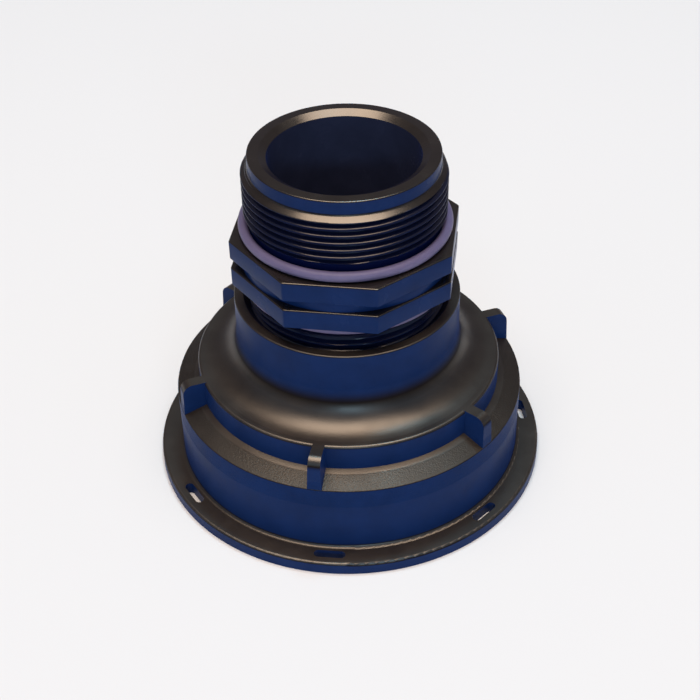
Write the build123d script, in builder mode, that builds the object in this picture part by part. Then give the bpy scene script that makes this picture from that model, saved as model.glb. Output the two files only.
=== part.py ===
from build123d import *
import os

os.makedirs("parts", exist_ok=True)

# All sizes are in millimetres and degrees.
# The origin is the centre of the cap's mouth on the surface it stands on, and +Z runs up the pipe.

# Two-inch pipe thread on both ends of the nipple and in the neck, drawn as a plain cylinder over its crests
pipe_thread_radius = 29.8
pipe_thread_depth = 1.48
pipe_thread_play = 0.1
thread_lead_drop = 1.3
relief_length = 4.4  # plain groove between the thread and the collar

# Neck that takes the lower end of the nipple
neck_wall = 4.5
neck_length = 23.0
neck_edge_fillet = 0.5
neck_socket_depth = 21.6
neck_mouth_chamfer = 1.7
socket_ledge = 4.9  # step at the bottom of the socket, down to the waterway

# Drum between the skirt and the neck
drum_roof_width = 12.8
drum_roof_flat = 1.3  # level part of the roof, between its edge and the sweep up to the neck
drum_roof_thickness = 4.0
drum_wall = 4.2
drum_rise = 8.3
drum_edge_fillet = 0.9

# Skirt that screws over the tank's outlet
skirt_wall = 4.2
skirt_height = 26.9
skirt_edge_fillet = 0.4
shoulder_width = 7.3
shoulder_rise = 2.2  # the shoulder climbs this much from the skirt to the drum
shoulder_thickness = 4.0
mouth_chamfer = 1.2

# Flange round the mouth of the cap
flange_width = 7.2
flange_thickness = 4.0
flange_edge_fillet = 0.8
flange_root_fillet = 1.2

# Slots through the flange for a sealing tie
slot_count = 7
slot_start_angle = -96.8
slot_length = 9.4
slot_width = 2.7
slot_wall_gap = 0.6  # from the foot of the root fillet to the slot

# Ribs that stand on the shoulder round the drum
rib_count = 6
rib_start_angle = 18.7
rib_thickness = 3.6
rib_draft = 2.0
rib_setback = 0.5  # from the skirt's outer face to the top of the rib's outer face
rib_edge_fillet = 3.2

# Coarse right-handed thread inside the skirt
tank_thread_pitch = 8.0
tank_thread_depth = 2.4
tank_thread_root = 4.6  # width of the ridge where it leaves the wall
tank_thread_crest = 2.0
tank_thread_start = 4.6  # height of the ridge's middle where it begins
tank_thread_end_gap = 1.3  # from the ridge's upper end to the gasket
tank_thread_ramp = 14.0  # angle over which each end of the ridge grows to its full depth

# Flat gasket under the shoulder, inside the skirt
gasket_thickness = 3.0
gasket_setback = 0.8  # from the drum's bore to the gasket's
gasket_play = 0.3  # from the gasket's rim to the skirt's wall

# Nipple, the same at both ends
nipple_length = 63.3
nipple_wall = 6.12  # inside the relief groove
bore_chamfer_width = 2.2
bore_chamfer_depth = 1.4
pilot_step = 2.1  # from the thread's crests in to the pilot
pilot_height = 4.2
pilot_edge_fillet = 0.4
pilot_root_fillet = 0.9
insertion_depth = 15.9  # how far the lower end stands inside the neck

# Collar in the middle of the nipple: two octagonal flanges with a gap between them
collar_sides = 8
collar_lip = 2.5  # from the thread's crests out to a flat
collar_angle = 13.9 - 90
collar_flange_thickness = 5.6
collar_gap = 3.4
collar_core_step = 0.4  # from the thread's crests in to the floor of the gap
collar_corner_fillet = 0.8
collar_edge_fillet = 0.4

# Sealing rings in the reliefs
ring_section = 3.0
ring_play = 0.2  # from a ring to the relief and to the collar

# Radii that follow, from the pipe out to the flange
relief_radius = pipe_thread_radius - pipe_thread_depth
nipple_bore_radius = relief_radius - nipple_wall
pilot_radius = pipe_thread_radius - pilot_step
collar_core_radius = pipe_thread_radius - collar_core_step
collar_flat_radius = pipe_thread_radius + collar_lip
socket_radius = pipe_thread_radius + pipe_thread_play
waterway_radius = socket_radius - socket_ledge
neck_radius = socket_radius + neck_wall
drum_radius = neck_radius + drum_roof_width
neck_root_fillet = drum_roof_width - drum_edge_fillet - drum_roof_flat
drum_bore_radius = drum_radius - drum_wall
gasket_bore_radius = drum_bore_radius + gasket_setback
skirt_radius = drum_radius + shoulder_width
skirt_bore_radius = skirt_radius - skirt_wall
flange_radius = skirt_radius + flange_width

# Heights that follow, from the mouth up to the pipe's free end
skirt_roof_height = skirt_height - shoulder_thickness + shoulder_rise / 2
gasket_foot_height = skirt_roof_height - gasket_thickness
tank_thread_end = gasket_foot_height - tank_thread_end_gap - tank_thread_root / 2
shoulder_height = skirt_height + shoulder_rise
drum_height = shoulder_height + drum_rise
drum_roof_height = drum_height - drum_roof_thickness
neck_height = drum_height + neck_length
socket_floor_height = neck_height - neck_socket_depth
collar_half_height = collar_flange_thickness + collar_gap / 2
nipple_half_length = nipple_length / 2
nipple_middle = neck_height - insertion_depth + nipple_half_length


def nearest(sketch, x, y):
    return sketch.vertices().sort_by_distance((x, y))[0]


def polar(radius, angle):
    return Vector(radius, 0).rotate(Axis.Z, angle)


def upright(height):
    return Plane(origin=(0, 0, height), x_dir=(1, 0, 0), z_dir=(0, -1, 0))


# Rib: a drafted block from inside the drum's wall to just short of the skirt's outer face
rib_inner_radius = drum_radius - drum_wall / 2
rib_outer_radius = skirt_radius - rib_setback
rib_foot_height = skirt_height - shoulder_thickness / 2

with BuildPart() as rib:
    with BuildSketch(Plane.XY.offset(drum_height)):
        with Locations(((rib_inner_radius + rib_outer_radius) / 2, 0)):
            Rectangle(rib_outer_radius - rib_inner_radius, rib_thickness)
    extrude(amount=rib_foot_height - drum_height, taper=-rib_draft)
    fillet(rib.edges().group_by(Axis.Z)[-1].sort_by(Axis.X)[-1], rib_edge_fillet)

# Coarse thread: a tapered ridge swept along a helix, its foot sunk a little into the skirt's wall
ridge_sink = 0.6
ridge_half_crest = tank_thread_crest / 2
ridge_flank_slope = (tank_thread_root - tank_thread_crest) / 2 / tank_thread_depth
ridge_half_foot = tank_thread_root / 2 + ridge_sink * ridge_flank_slope
ridge_foot_radius = skirt_bore_radius + ridge_sink
ridge_crest_radius = skirt_bore_radius - tank_thread_depth
ridge_rise = tank_thread_end - tank_thread_start
ridge_end_angle = 360 * ridge_rise / tank_thread_pitch
wedge_overrun = 1.5  # angle, and millimetres inside the crest, that a wedge runs past the ridge

with BuildPart() as tank_thread:
    with BuildLine():
        ridge_path = Helix(tank_thread_pitch, ridge_rise, skirt_bore_radius, center=(0, 0, tank_thread_start))
    with BuildSketch(upright(tank_thread_start)):
        with BuildLine():
            Polyline(
                (ridge_foot_radius, -ridge_half_foot),
                (ridge_crest_radius, -ridge_half_crest),
                (ridge_crest_radius, ridge_half_crest),
                (ridge_foot_radius, ridge_half_foot),
                close=True,
            )
        make_face()
    sweep(path=ridge_path, is_frenet=True)
    # A wedge cut off each end lets the ridge grow out of the wall
    for height, angle, way in ((tank_thread_start, 0, 1), (tank_thread_end, ridge_end_angle, -1)):
        wedge_start = angle - way * wedge_overrun
        wedge_end = angle + way * tank_thread_ramp
        with BuildSketch(Plane.XY.offset(height - tank_thread_pitch / 2)):
            with BuildLine():
                Polyline(
                    polar(skirt_bore_radius, wedge_start),
                    polar(ridge_crest_radius, wedge_end),
                    polar(ridge_crest_radius - wedge_overrun, wedge_end),
                    polar(ridge_crest_radius - wedge_overrun, wedge_start),
                    close=True,
                )
            make_face()
        extrude(amount=tank_thread_pitch, mode=Mode.SUBTRACT)

# Cap: one moulding, turned about the pipe's axis, with ribs, slots and the coarse thread
slot_ring_radius = skirt_radius + flange_root_fillet + slot_wall_gap + slot_width / 2

with BuildPart() as adapter_cap:
    with BuildSketch(Plane.XZ) as cap_section:
        with BuildLine():
            Polyline(
                (skirt_bore_radius, 0),
                (flange_radius, 0),
                (flange_radius, flange_thickness),
                (skirt_radius, flange_thickness),
                (skirt_radius, skirt_height),
                (drum_radius, shoulder_height),
                (drum_radius, drum_height),
                (neck_radius, drum_height),
                (neck_radius, neck_height),
                (socket_radius, neck_height),
                (socket_radius, socket_floor_height),
                (waterway_radius, socket_floor_height),
                (waterway_radius, drum_roof_height),
                (drum_bore_radius, drum_roof_height),
                (drum_bore_radius, skirt_roof_height),
                (skirt_bore_radius, skirt_roof_height),
                close=True,
            )
        make_face()
        fillet(nearest(cap_section, flange_radius, flange_thickness), flange_edge_fillet)
        fillet(nearest(cap_section, skirt_radius, flange_thickness), flange_root_fillet)
        fillet(nearest(cap_section, skirt_radius, skirt_height), skirt_edge_fillet)
        fillet(nearest(cap_section, drum_radius, drum_height), drum_edge_fillet)
        fillet(nearest(cap_section, neck_radius, drum_height), neck_root_fillet)
        fillet(nearest(cap_section, neck_radius, neck_height), neck_edge_fillet)
        chamfer(nearest(cap_section, socket_radius, neck_height), neck_mouth_chamfer)
        chamfer(nearest(cap_section, skirt_bore_radius, 0), mouth_chamfer)
    revolve(axis=Axis.Z)
    with PolarLocations(0, rib_count, start_angle=rib_start_angle):
        add(rib.part)
    with BuildSketch():
        with PolarLocations(slot_ring_radius, slot_count, start_angle=slot_start_angle):
            SlotOverall(slot_length, slot_width, rotation=90)
    extrude(amount=flange_thickness, mode=Mode.SUBTRACT)
    add(tank_thread.part)

# Gasket: a flat ring held up against the roof of the skirt
with BuildPart() as cap_gasket:
    with BuildSketch(Plane.XY.offset(gasket_foot_height)):
        Circle(skirt_bore_radius - gasket_play)
        Circle(gasket_bore_radius, mode=Mode.SUBTRACT)
    extrude(amount=gasket_thickness)

# Collar flange: an octagonal plate with rounded corners and edges, bored for the nipple's tube
with BuildPart() as collar_flange:
    with BuildSketch() as collar_outline:
        RegularPolygon(collar_flat_radius, collar_sides, major_radius=False, rotation=collar_angle)
        fillet(collar_outline.vertices(), collar_corner_fillet)
    extrude(amount=collar_flange_thickness)
    fillet(collar_flange.faces().filter_by(Axis.Z).edges(), collar_edge_fillet)
    Cylinder(relief_radius - 1, 3 * collar_flange_thickness, mode=Mode.SUBTRACT)

# Nipple: half of its section, mirrored about the middle of the collar and turned about the pipe's axis
thread_end = nipple_half_length - pilot_height
relief_end = collar_half_height + relief_length

with BuildPart() as nipple:
    with BuildSketch(upright(nipple_middle)) as nipple_section:
        with BuildLine():
            Polyline(
                (nipple_bore_radius, 0),
                (collar_core_radius, 0),
                (collar_core_radius, collar_half_height),
                (relief_radius, collar_half_height),
                (relief_radius, relief_end),
                (pipe_thread_radius, relief_end + pipe_thread_depth),
                (pipe_thread_radius, thread_end - thread_lead_drop),
                (pilot_radius, thread_end),
                (pilot_radius, nipple_half_length),
                (nipple_bore_radius + bore_chamfer_width, nipple_half_length),
                (nipple_bore_radius, nipple_half_length - bore_chamfer_depth),
                close=True,
            )
        make_face()
        fillet(nearest(nipple_section, pilot_radius, nipple_half_length), pilot_edge_fillet)
        fillet(nearest(nipple_section, pilot_radius, thread_end), pilot_root_fillet)
        mirror(about=Plane.XZ)
    revolve(axis=Axis.Z)
    for collar_foot in (collar_gap / 2, -collar_half_height):
        with Locations((0, 0, nipple_middle + collar_foot)):
            add(collar_flange.part)

# Sealing rings: one above the collar and one below it
ring_radius = relief_radius + ring_play + ring_section / 2
ring_offset = collar_half_height + ring_play + ring_section / 2

with BuildPart() as upper_o_ring:
    with BuildSketch(upright(nipple_middle + ring_offset)):
        with Locations((ring_radius, 0)):
            Circle(ring_section / 2)
    revolve(axis=Axis.Z)

with BuildPart() as lower_o_ring:
    with BuildSketch(upright(nipple_middle - ring_offset)):
        with Locations((ring_radius, 0)):
            Circle(ring_section / 2)
    revolve(axis=Axis.Z)

for name, piece in (
    ("adapter_cap", adapter_cap),
    ("nipple", nipple),
    ("upper_o_ring", upper_o_ring),
    ("lower_o_ring", lower_o_ring),
    ("cap_gasket", cap_gasket),
):
    piece.part.label = name
    export_step(piece.part, "parts/" + name + ".step")
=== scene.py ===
import math
import bpy
from mathutils import Matrix, Vector


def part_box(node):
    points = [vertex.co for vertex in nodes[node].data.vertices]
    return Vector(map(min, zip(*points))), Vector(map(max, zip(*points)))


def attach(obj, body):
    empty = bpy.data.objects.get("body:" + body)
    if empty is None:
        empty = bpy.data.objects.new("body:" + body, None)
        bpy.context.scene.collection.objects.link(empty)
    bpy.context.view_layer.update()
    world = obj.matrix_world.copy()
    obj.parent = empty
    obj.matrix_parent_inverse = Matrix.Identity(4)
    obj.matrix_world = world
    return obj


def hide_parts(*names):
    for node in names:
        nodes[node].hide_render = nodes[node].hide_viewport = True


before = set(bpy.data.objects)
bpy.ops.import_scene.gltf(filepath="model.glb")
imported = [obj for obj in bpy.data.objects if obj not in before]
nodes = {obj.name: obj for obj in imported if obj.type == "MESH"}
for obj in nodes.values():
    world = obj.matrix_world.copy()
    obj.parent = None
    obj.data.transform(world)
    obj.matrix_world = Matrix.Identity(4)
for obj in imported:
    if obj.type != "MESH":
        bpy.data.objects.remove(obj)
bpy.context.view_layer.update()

# Given lengths are in millimetres and given angles in degrees; meshes are built in metres
mm = 0.001
noiseRange = (0.3, 0.7)  # most values of a noise texture lie between these


def linear(code):
    # sRGB hex to the linear colour that a shader takes
    parts = [int(code[i:i + 2], 16) / 255 for i in (1, 3, 5)]
    return tuple(c / 12.92 if c <= 0.04045 else ((c + 0.055) / 1.055) ** 2.4 for c in parts) + (1.0,)


def fillNode(tree, node, values):
    # a value that is a socket is linked, any other is set
    for name, value in values.items():
        if isinstance(value, bpy.types.NodeSocket):
            tree.links.new(value, node.inputs[name])
        else:
            node.inputs[name].default_value = value


def addNode(tree, kind, values, **settings):
    # a node with its settings and links
    made = tree.nodes.new("ShaderNode" + kind)
    for name, value in settings.items():
        setattr(made, name, value)
    fillNode(tree, made, values)
    return made


def newMaterial(name):
    material = bpy.data.materials.new(name)
    material.use_nodes = True
    return material, material.node_tree, material.node_tree.nodes["Principled BSDF"]


# Moulded black polypropylene with a fine grain; the navy on its walls is painted reflection of blue
# surroundings, and the brown where it is turned up is painted warm light
def plasticMaterial(name, look):
    material, tree, bsdf = newMaterial(name)
    place = addNode(tree, "TexCoord", {}).outputs["Object"]
    normal = addNode(tree, "NewGeometry", {}).outputs["Normal"]
    upward = addNode(tree, "SeparateXYZ", {0: normal}).outputs["Z"]
    cloud = addNode(tree, "TexNoise", {
        "Vector": place, "Scale": 1 / (look["cloudSize"] * mm), "Detail": 3.0, "Roughness": 0.55,
    }).outputs["Fac"]
    grain = addNode(tree, "TexNoise", {
        "Vector": place, "Scale": 1 / (look["grainSize"] * mm), "Detail": 2.0, "Roughness": 0.6,
    }).outputs["Fac"]
    speck = addNode(tree, "TexVoronoi", {
        "Vector": place, "Scale": 1 / (look["speckSpacing"] * mm), "Randomness": 1.0,
    }, feature="F1").outputs["Distance"]
    speckMask = addNode(tree, "MapRange", {
        "Value": speck, "From Min": look["speckTop"], "From Max": look["speckFoot"],
        "To Min": 1.0, "To Max": 0.0,
    }).outputs["Result"]

    # The slope outside the drum was eroded in the mould, so it is rougher
    height = addNode(tree, "SeparateXYZ", {0: place}).outputs["Z"]
    across = addNode(tree, "VectorMath", {0: place, 1: (1, 1, 0)}, operation="MULTIPLY").outputs["Vector"]
    radius = addNode(tree, "VectorMath", {0: across}, operation="LENGTH").outputs["Value"]
    eroded = 1.0
    for value, start, end in (
        (radius, look["erodedFrom"], look["erodedFrom"] + look["erodedFade"]),
        (height, look["erodedAbove"], look["erodedAbove"] + look["erodedFade"]),
        (height, look["erodedUnder"] + look["erodedFade"], look["erodedUnder"]),
    ):
        within = addNode(tree, "MapRange", {
            "Value": value, "From Min": start * mm, "From Max": end * mm,
        }).outputs["Result"]
        eroded = addNode(tree, "Math", {0: eroded, 1: within}, operation="MULTIPLY").outputs["Value"]
    deeper = addNode(tree, "MapRange", {
        "Value": eroded, "To Min": 1.0, "To Max": look["erodedGrain"],
    }).outputs["Result"]
    duller = addNode(tree, "MapRange", {
        "Value": eroded, "To Min": 1.0, "To Max": look["erodedGloss"],
    }).outputs["Result"]

    # Painted light: the colour goes from painted navy reflection on the walls to painted warm light on the
    # faces turned up
    paintedLightShare = addNode(tree, "MapRange", {
        "Value": upward, "From Min": look["wallTilt"], "From Max": look["topTilt"],
    }, interpolation_type="SMOOTHSTEP").outputs["Result"]
    paintedLightBase = addNode(tree, "Mix", {
        "Factor": paintedLightShare, 6: linear(look["paintedReflectionWallColour"]), 7: linear(look["paintedLightTopColour"]),
    }, data_type="RGBA").outputs[2]
    shade = addNode(tree, "MapRange", {
        "Value": cloud, "From Min": noiseRange[0], "From Max": noiseRange[1],
        "To Min": 1 - look["cloudShare"], "To Max": 1 + look["cloudShare"],
    }).outputs["Result"]
    shaded = addNode(tree, "Mix", {
        "Factor": 1.0, 6: paintedLightBase, 7: shade,
    }, data_type="RGBA", blend_type="MULTIPLY").outputs[2]
    gloss = addNode(tree, "MapRange", {
        "Value": upward, "From Min": look["dullTilt"], "From Max": look["glossyTilt"],
        "To Min": look["wallSpecular"], "To Max": look["topSpecular"],
    }).outputs["Result"]
    gloss = addNode(tree, "Math", {0: gloss, 1: duller}, operation="MULTIPLY").outputs["Value"]
    rough = addNode(tree, "MapRange", {
        "Value": cloud, "From Min": noiseRange[0], "From Max": noiseRange[1],
        "To Min": look["roughness"] - look["roughnessSpread"],
        "To Max": look["roughness"] + look["roughnessSpread"],
    }).outputs["Result"]
    rough = addNode(tree, "Math", {
        0: eroded, 1: look["erodedRoughness"], 2: rough,
    }, operation="MULTIPLY_ADD").outputs["Value"]

    grain = addNode(tree, "Math", {0: grain, 1: deeper}, operation="MULTIPLY").outputs["Value"]
    fine = addNode(tree, "Bump", {
        "Height": grain, "Distance": look["grainDepth"] * mm, "Strength": 1.0,
    }).outputs["Normal"]
    wavy = addNode(tree, "Bump", {
        "Height": cloud, "Distance": look["waveDepth"] * mm, "Strength": 1.0, "Normal": fine,
    }).outputs["Normal"]
    pitted = addNode(tree, "Bump", {
        "Height": speckMask, "Distance": look["speckDepth"] * mm, "Strength": 1.0, "Normal": wavy,
    }).outputs["Normal"]
    fillNode(tree, bsdf, {
        "Base Color": shaded, "Roughness": rough, "IOR": look["ior"], "Specular IOR Level": gloss,
        "Specular Tint": linear(look["paintedWarmSpecularColour"]), "Normal": pitted, "Sheen Weight": look["sheen"],
        "Sheen Roughness": look["sheenRoughness"], "Sheen Tint": linear(look["paintedRimReflectionColour"]),
    })
    return material


# The cap: a satin black skin with a soft gleam where it is turned up; its colours hold painted reflection on
# the walls and painted warm light on top
capLook = {
    "paintedReflectionWallColour": "#172d57",  # painted reflection: the black shown navy on the upright walls, for the blue they mirror
    "paintedLightTopColour": "#1a1410",  # painted warm light: the black shown brown-black on the faces turned up
    "wallTilt": 0.02, "topTilt": 0.42,  # upward share of the normal, between which the painted colour changes
    # The warm tint on every reflection is painted warm light; black polypropylene reflects neutral
    "wallSpecular": 0.05, "topSpecular": 1.0, "paintedWarmSpecularColour": "#ffeedc",
    "dullTilt": 0.38, "glossyTilt": 0.62,  # the same, between which the gloss changes
    "ior": 1.52,  # polypropylene has about 1.49; raised a little to match its gleam
    # Painted reflection: a faint blue sheen at grazing angles stands in for the blue surroundings mirrored
    # at the edges
    "sheen": 0.04, "sheenRoughness": 0.3, "paintedRimReflectionColour": "#2f6fff",
    "cloudSize": 9.0, "cloudShare": 0.12, "waveDepth": 0.012,
    "grainSize": 0.45, "grainDepth": 0.020,  # a real grain is finer, this one is coarse enough to show
    "speckSpacing": 2.4, "speckDepth": 0.012,
    "speckTop": 0.05, "speckFoot": 0.13,  # radii of one speck, as shares of their spacing
    "roughness": 0.37, "roughnessSpread": 0.04,
    "erodedFrom": 48.9, "erodedAbove": 20.0, "erodedUnder": 29.6, "erodedFade": 0.5,  # where the slope lies
    "erodedGrain": 5.0, "erodedRoughness": 0.04, "erodedGloss": 0.5,
}
# The nipple: smoother and glossier than the cap. Its bore and threads get copies with painted shade: greyer
# and duskier in the bore, a deeper, darker blue in the threads
nippleLook = dict(capLook, roughness=0.25, grainDepth=0.005, waveDepth=0.01, speckDepth=0.006)
# Painted shade: the bore's walls are greyer and duskier than outside
paintedShadeBoreLook = dict(nippleLook, paintedReflectionWallColour="#313346", paintedLightTopColour="#15120f")
# Painted shade: the threads' grooves and tops are a darker, deeper blue
paintedShadeThreadLook = dict(nippleLook, paintedReflectionWallColour="#0a1438", paintedLightTopColour="#10142a", roughness=0.2, topSpecular=0.6)
capPlastic = plasticMaterial("satin black polypropylene", capLook)
nipplePlastic = plasticMaterial("semi-gloss black polypropylene", nippleLook)
paintedShadeBorePlastic = plasticMaterial("semi-gloss black polypropylene in the bore", paintedShadeBoreLook)
paintedShadeThreadPlastic = plasticMaterial("semi-gloss black polypropylene of the threads", paintedShadeThreadLook)


# Rubber: an even colour with a faint bloom and a fine grain
def rubberMaterial(name, look):
    material, tree, bsdf = newMaterial(name)
    place = addNode(tree, "TexCoord", {}).outputs["Object"]
    bloom = addNode(tree, "TexNoise", {
        "Vector": place, "Scale": 1 / (look["bloomSize"] * mm), "Detail": look["bloomDetail"],
    }).outputs["Fac"]
    grain = addNode(tree, "TexNoise", {
        "Vector": place, "Scale": 1 / (look["grainSize"] * mm), "Detail": look["grainDetail"],
    }).outputs["Fac"]
    mottled = addNode(tree, "Mix", {
        "Factor": bloom, 6: linear(look["colour"]), 7: linear(look["bloomColour"]),
    }, data_type="RGBA").outputs[2]
    bumped = addNode(tree, "Bump", {
        "Height": grain, "Distance": look["grainDepth"] * mm, "Strength": 1.0,
    }).outputs["Normal"]
    fillNode(tree, bsdf, {
        "Base Color": mottled, "Roughness": look["roughness"], "IOR": look["ior"],
        "Specular IOR Level": look["specular"], "Normal": bumped,
    })
    return material


# The two rings: silky lilac silicone rubber
ringLook = {
    "colour": "#625875", "bloomColour": "#6f6483", "bloomSize": 3.0, "bloomDetail": 3.0,
    "grainSize": 0.25, "grainDetail": 2.0, "grainDepth": 0.01,
    "roughness": 0.5, "ior": 1.5, "specular": 0.4,
}
# The gasket: cut from dull black rubber sheet, which looks a little dusty
gasketLook = {
    "colour": "#1a1a1b", "bloomColour": "#262626", "bloomSize": 0.6, "bloomDetail": 4.0,
    "grainSize": 0.6, "grainDetail": 4.0, "grainDepth": 0.03,
    "roughness": 0.8, "ior": 1.5, "specular": 0.3,
}
ringRubber = rubberMaterial("lilac rubber", ringLook)
gasketRubber = rubberMaterial("matte black rubber", gasketLook)

nodeMaterials = {
    "adapter_cap": capPlastic, "upper_o_ring": ringRubber, "lower_o_ring": ringRubber,
    "cap_gasket": gasketRubber,
}
for name, material in nodeMaterials.items():
    for holder in nodes[name].material_slots:
        holder.material = material
print("materials made")

# Two-inch parallel pipe thread, the same in the nipple and in the neck
thread = {
    "pitch": 2.309,
    "depth": 1.478,
    "crestRadius": 29.8,
    "rounding": 0.317,
    "flankAngle": 27.5,  # of one flank from the level
    "crestHeight": 93.26,  # of one crest where it passes the front
    "frontAngle": -90.0,
}


# Radius of the nipple's thread at a height and an angle from +X
def threadRadius(height, angle):
    pitch, rounding, tilt = thread["pitch"], thread["rounding"], math.radians(thread["flankAngle"])
    crest = thread["crestHeight"] + pitch * (angle - thread["frontAngle"]) / 360
    away = abs((height - crest + pitch / 2) % pitch - pitch / 2)
    flank = rounding * math.cos(tilt)
    if away < flank:
        drop = rounding - math.sqrt(rounding ** 2 - away ** 2)
    elif away > pitch / 2 - flank:
        drop = thread["depth"] - rounding + math.sqrt(rounding ** 2 - (pitch / 2 - away) ** 2)
    else:
        drop = rounding * (1 - math.sin(tilt)) + (away - flank) / math.tan(tilt)
    return thread["crestRadius"] - drop


sharpAngle = 30  # edges that turn more than this stay crisp


# A closed ring of rows, each (height, radius at an angle); it runs up the outside and down the inside
def latheMesh(name, rows, angles):
    points, faces = [], []
    for height, radius in rows:
        for angle in angles:
            reach, turn = radius(angle), math.radians(angle)
            points.append((reach * math.cos(turn) * mm, reach * math.sin(turn) * mm, height * mm))
    wide, tall = len(angles), len(rows)
    for i in range(tall):
        for j in range(wide):
            above, right = (i + 1) % tall, (j + 1) % wide
            faces.append((i * wide + j, i * wide + right, above * wide + right, above * wide + j))
    mesh = bpy.data.meshes.new(name)
    mesh.from_pydata(points, [], faces)
    mesh.shade_smooth()
    mesh.set_sharp_from_angle(angle=math.radians(sharpAngle))
    made = bpy.data.objects.new(name, mesh)
    bpy.context.scene.collection.objects.link(made)
    return made


def even(start, end, count):
    return [start + (end - start) * i / count for i in range(count + 1)]


def plain(radius):
    return lambda angle: radius


# Nipple: threads cut in the tube's two ends, and the octagonal collar flanges between them
nipple = {
    "bore": 22.2, "boreRows": 8, "boreChamferWidth": 2.2, "boreChamferDepth": 1.4,
    "pilot": 27.7, "pilotHeight": 4.2, "pilotEdge": 0.4, "pilotFoot": 0.9,
    "leadDrop": 1.3, "relief": 28.32, "reliefLength": 4.4,
    "collarFlat": 32.3, "collarCorner": 0.8, "collarEdge": 0.4, "collarSides": 8,
    "collarAngle": -76.1,  # of one corner
    "collarHalf": 7.3,  # from the collar's middle to the seat of each ring
    "gapAbove": 1.05, "gapBelow": 1.95, "collarCore": 31.7,  # the gap's reach from the middle, and its floor
    "lip": 0.9, "recess": 31.65,  # the lower flange's lip round the ring under it
    "cornerSteps": (-1, -0.6, -0.2, 0.2, 0.6, 1),  # columns at a corner, as shares of its half width
    "cornerClear": 0.8,  # how far the even columns keep from those, as a share of the same
    "upperRowsPerTurn": 20, "lowerRowsPerTurn": 13, "columns": 256,
}
nippleLow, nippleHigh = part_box("nipple")
nippleMiddle = (nippleLow[2] + nippleHigh[2]) / 2 / mm
nippleHalf = (nippleHigh[2] - nippleLow[2]) / 2 / mm
reliefEnd = nipple["collarHalf"] + nipple["reliefLength"]
threadEnd = nippleHalf - nipple["pilotHeight"]
sideAngle = 360 / nipple["collarSides"]
# Angle from the middle of a collar side to where its corner's rounding starts
roundingStart = math.degrees(math.atan(
    (1 - nipple["collarCorner"] / nipple["collarFlat"]) * math.tan(math.radians(sideAngle / 2))))


# Outline of a collar flange, drawn in by inset all round
def collarRadius(inset):
    flat, corner = nipple["collarFlat"] - inset, nipple["collarCorner"] - inset

    def radius(angle):
        beside = abs((angle - nipple["collarAngle"]) % sideAngle - sideAngle / 2)
        turn = math.radians(beside)
        if beside <= roundingStart:
            return flat / math.cos(turn)
        centre = (flat - corner) / math.cos(math.radians(sideAngle / 2))
        swing = math.radians(sideAngle / 2) - turn
        return centre * math.cos(swing) + math.sqrt(max(corner ** 2 - (centre * math.sin(swing)) ** 2, 0))

    return radius


# The thread's end slopes in to the pilot and meets it in a small fillet
leadStart = threadEnd - nipple["leadDrop"]
leadSlope = math.atan2(nipple["leadDrop"], thread["crestRadius"] - nipple["pilot"])
footReach = nipple["pilotFoot"] * math.tan((math.pi / 2 - leadSlope) / 2)
footTop = threadEnd + footReach


# Radius that the thread may not pass, from the relief groove to the pilot
def threadLimit(away):
    if away < reliefEnd + thread["depth"]:
        return nipple["relief"] + away - reliefEnd
    if away > threadEnd - footReach * math.sin(leadSlope):
        below = max(footTop - away, 0)
        return nipple["pilot"] + nipple["pilotFoot"] - math.sqrt(nipple["pilotFoot"] ** 2 - below ** 2)
    if away > leadStart:
        return thread["crestRadius"] - (away - leadStart) / math.tan(leadSlope)
    return thread["crestRadius"]


def cutThread(height, away):
    limit = threadLimit(away)
    return lambda angle: min(limit, threadRadius(height, angle))


# Steps round an edge, as shares of its radius: how far each lies behind the end face, how far it draws in
edgeTurns = even(0, math.pi / 2, 4)
edgeSteps = [(1 - math.sin(turn), 1 - math.cos(turn)) for turn in edgeTurns]


# Rows from the middle of the collar out to the rim, way +1 upwards and -1 downwards
def nippleHalfRows(way, rowsPerTurn):
    def at(away):
        return nippleMiddle + way * away

    edge = nipple["collarEdge"]
    foot = nipple["gapAbove"] if way > 0 else nipple["gapBelow"]
    lipEnd = nipple["collarHalf"] if way > 0 else nipple["collarHalf"] + nipple["lip"]
    rows = [(at(foot), plain(nipple["collarCore"]))]
    rows += [(at(foot + edge * back), collarRadius(edge * inset)) for back, inset in edgeSteps[::-1]]
    rows += [(at(lipEnd - edge * back), collarRadius(edge * inset)) for back, inset in edgeSteps]
    if way < 0:
        rows += [(at(away), plain(nipple["recess"])) for away in (lipEnd, nipple["collarHalf"])]
    rows += [(at(away), plain(nipple["relief"])) for away in even(nipple["collarHalf"], reliefEnd, 2)[:2]]
    count = round((footTop - reliefEnd) / thread["pitch"] * rowsPerTurn)
    rows += [(at(away), cutThread(at(away), away)) for away in even(reliefEnd, footTop, count)]
    edge, pilot = nipple["pilotEdge"], nipple["pilot"]
    rows += [(at(nippleHalf - edge * back), plain(pilot - edge * inset)) for back, inset in edgeSteps]
    rows += [(at(nippleHalf), plain(nipple["bore"] + nipple["boreChamferWidth"]))]
    return rows


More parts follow.
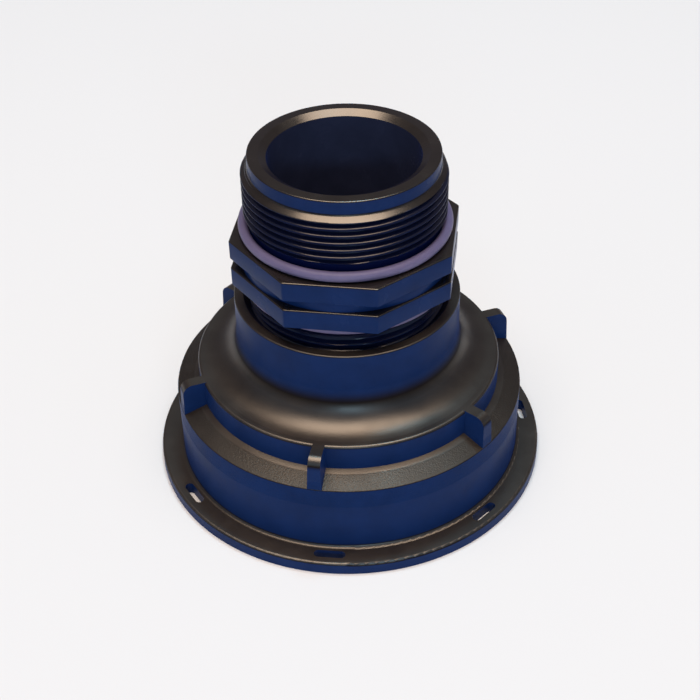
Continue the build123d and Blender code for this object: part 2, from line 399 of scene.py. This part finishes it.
# Columns of points all round, with more of them at the collar's corners
cornerHalf = sideAngle / 2 - roundingStart
cornerAngles = [
    (nipple["collarAngle"] + sideAngle * side + cornerHalf * step) % 360
    for side in range(nipple["collarSides"]) for step in nipple["cornerSteps"]
]
tooNear = nipple["cornerClear"] * cornerHalf
evenAngles = even(0, 360, nipple["columns"])[:-1]
columnAngles = sorted(cornerAngles + [
    angle for angle in evenAngles
    if min(abs((angle - corner + 180) % 360 - 180) for corner in cornerAngles) > tooNear
])
boreEnd = nippleHalf - nipple["boreChamferDepth"]
boreHeights = even(nippleMiddle + boreEnd, nippleMiddle - boreEnd, nipple["boreRows"])
rows = nippleHalfRows(-1, nipple["lowerRowsPerTurn"])[::-1] + nippleHalfRows(1, nipple["upperRowsPerTurn"])
rows += [(height, plain(nipple["bore"])) for height in boreHeights]
threadedNipple = latheMesh("threadedNipple", rows, columnAngles)
for material in (nipplePlastic, paintedShadeBorePlastic, paintedShadeThreadPlastic):
    threadedNipple.data.materials.append(material)
margin = 0.05  # so that a face on a limit falls on one side of it
# Faces in the bore and on the threads take the copies with painted shade
for face in threadedNipple.data.polygons:
    reach = math.hypot(face.center.x, face.center.y) / mm
    away = abs(face.center.z / mm - nippleMiddle)
    if reach < nipple["bore"] + margin:
        face.material_index = 1
    elif reach < thread["crestRadius"] + margin and nipple["collarHalf"] + margin < away < leadStart:
        face.material_index = 2
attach(threadedNipple, "pipe")
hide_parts("nipple")
print("nipple made:", len(threadedNipple.data.polygons), "faces")

# Female thread in the neck: a ring let into the socket's wall, its grooves just clear of the crests
neck = {
    "low": 41.5, "high": 58.7, "clearance": 0.1, "grooveRadius": 29.85, "backRadius": 30.2, "backRows": 6,
    "rowsPerTurn": 13, "columns": 192,
}


# Radius of the neck's thread, which fades out at both of its ends
def neckRadius(height):
    fade = neck["grooveRadius"] - min(height - neck["low"], neck["high"] - height)

    def radius(angle):
        return min(neck["grooveRadius"], max(threadRadius(height, angle) + neck["clearance"], fade))

    return radius


count = round((neck["high"] - neck["low"]) / thread["pitch"] * neck["rowsPerTurn"])
rows = [(height, plain(neck["backRadius"])) for height in even(neck["low"], neck["high"], neck["backRows"])]
rows += [(height, neckRadius(height)) for height in even(neck["high"], neck["low"], count)]
neckThread = latheMesh("neckThread", rows, even(0, 360, neck["columns"])[:-1])
# The neck's thread takes the copy with painted shade as well
neckThread.data.materials.append(paintedShadeThreadPlastic)
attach(neckThread, "cap")
print("neck thread made:", len(neckThread.data.polygons), "faces")

# Floor: a large pale sheet
floor = {"size": 20000, "colour": "#dcd9d7", "roughness": 0.9, "specular": 0.1}
floorMaterial, tree, bsdf = newMaterial("matte pale board")
fillNode(tree, bsdf, {
    "Base Color": linear(floor["colour"]), "Roughness": floor["roughness"],
    "Specular IOR Level": floor["specular"],
})
half = floor["size"] / 2 * mm
corners = [(-half, -half, 0), (half, -half, 0), (half, half, 0), (-half, half, 0)]
floorMesh = bpy.data.meshes.new("floor")
floorMesh.from_pydata(corners, [], [(0, 1, 2, 3)])
floorMesh.materials.append(floorMaterial)
floorObject = bpy.data.objects.new("floor", floorMesh)
bpy.context.scene.collection.objects.link(floorObject)

# World: dim and soft all round, cool in front and greyer behind
surroundings = {"front": "#66809f", "back": "#60606a", "blend": 0.4, "strength": 1.0}
world = bpy.data.worlds.new("soft surroundings")
bpy.context.scene.world = world
world.use_nodes = True
tree = world.node_tree
direction = addNode(tree, "TexCoord", {}).outputs["Generated"]
depth = addNode(tree, "SeparateXYZ", {0: direction}).outputs["Y"]
behind = addNode(tree, "MapRange", {
    "Value": depth, "From Min": -surroundings["blend"], "From Max": surroundings["blend"],
}, interpolation_type="SMOOTHSTEP").outputs["Result"]
around = addNode(tree, "Mix", {
    "Factor": behind, 6: linear(surroundings["front"]), 7: linear(surroundings["back"]),
}, data_type="RGBA").outputs[2]
fillNode(tree, tree.nodes["Background"], {"Color": around, "Strength": surroundings["strength"]})

# Lamps: each is a soft rectangle that faces one point of the object
# Its brightness is what a mirror would show of it, the same at any size
lampTarget = Vector((0, 0, 45 * mm))  # on the axis, a little under the middle
lamps = {
    "overheadLamp": {  # warm light on every face turned up
        "azimuth": -10, "elevation": 85, "distance": 2500, "size": (2200, 1650),
        "brightness": 7.1, "colour": "#ffeedd",
    },
    "coolLamp": {  # teal gleam on the slope and the roof
        "azimuth": 162, "elevation": 75, "distance": 2500, "size": (500, 260),
        "brightness": 42, "colour": "#88d8ff",
    },
    "frontLamp": {  # blue on the walls that face the camera
        "azimuth": 3, "elevation": 22, "distance": 2000, "size": (900, 200),
        "brightness": 15, "colour": "#b0dcff",
    },
    "leftLamp": {  # faint warm light from the left
        "azimuth": -48, "elevation": 18, "distance": 2000, "size": (220, 220),
        "brightness": 4, "colour": "#ffdcb8",
    },
}
for name, look in lamps.items():
    data = bpy.data.lights.new(name, "AREA")
    data.shape = "RECTANGLE"
    data.size, data.size_y = (length * mm for length in look["size"])
    data.energy = look["brightness"] * math.pi * data.size * data.size_y
    data.color = linear(look["colour"])[:3]
    lamp = bpy.data.objects.new(name, data)
    side, rise = math.radians(look["azimuth"]), math.radians(look["elevation"])
    away = Vector((math.sin(side) * math.cos(rise), -math.cos(side) * math.cos(rise), math.sin(rise)))
    lamp.location = lampTarget + away * look["distance"] * mm
    lamp.rotation_euler = away.to_track_quat("Z", "Y").to_euler()
    bpy.context.scene.collection.objects.link(lamp)

# Camera: found by fitting the photo's circles
view = {
    "lens": 67.06, "sensor": 36.0, "distance": 322.42, "height": 292.35,
    "pitch": 38.527, "yaw": 0.095, "roll": -1.142, "nearest": 10,
}
cameraData = bpy.data.cameras.new("camera")
cameraData.lens = view["lens"]
cameraData.sensor_width = view["sensor"]
cameraData.clip_start = view["nearest"] * mm
camera = bpy.data.objects.new("camera", cameraData)
camera.matrix_world = (
    Matrix.Translation((0, -view["distance"] * mm, view["height"] * mm))
    @ Matrix.Rotation(-math.radians(view["yaw"]), 4, "Z")
    @ Matrix.Rotation(math.radians(90 - view["pitch"]), 4, "X")
    @ Matrix.Rotation(math.radians(view["roll"]), 4, "Z")
)
bpy.context.scene.collection.objects.link(camera)
bpy.context.scene.camera = camera
bpy.context.scene.view_settings.view_transform = "Standard"
print("floor, lamps and camera placed")
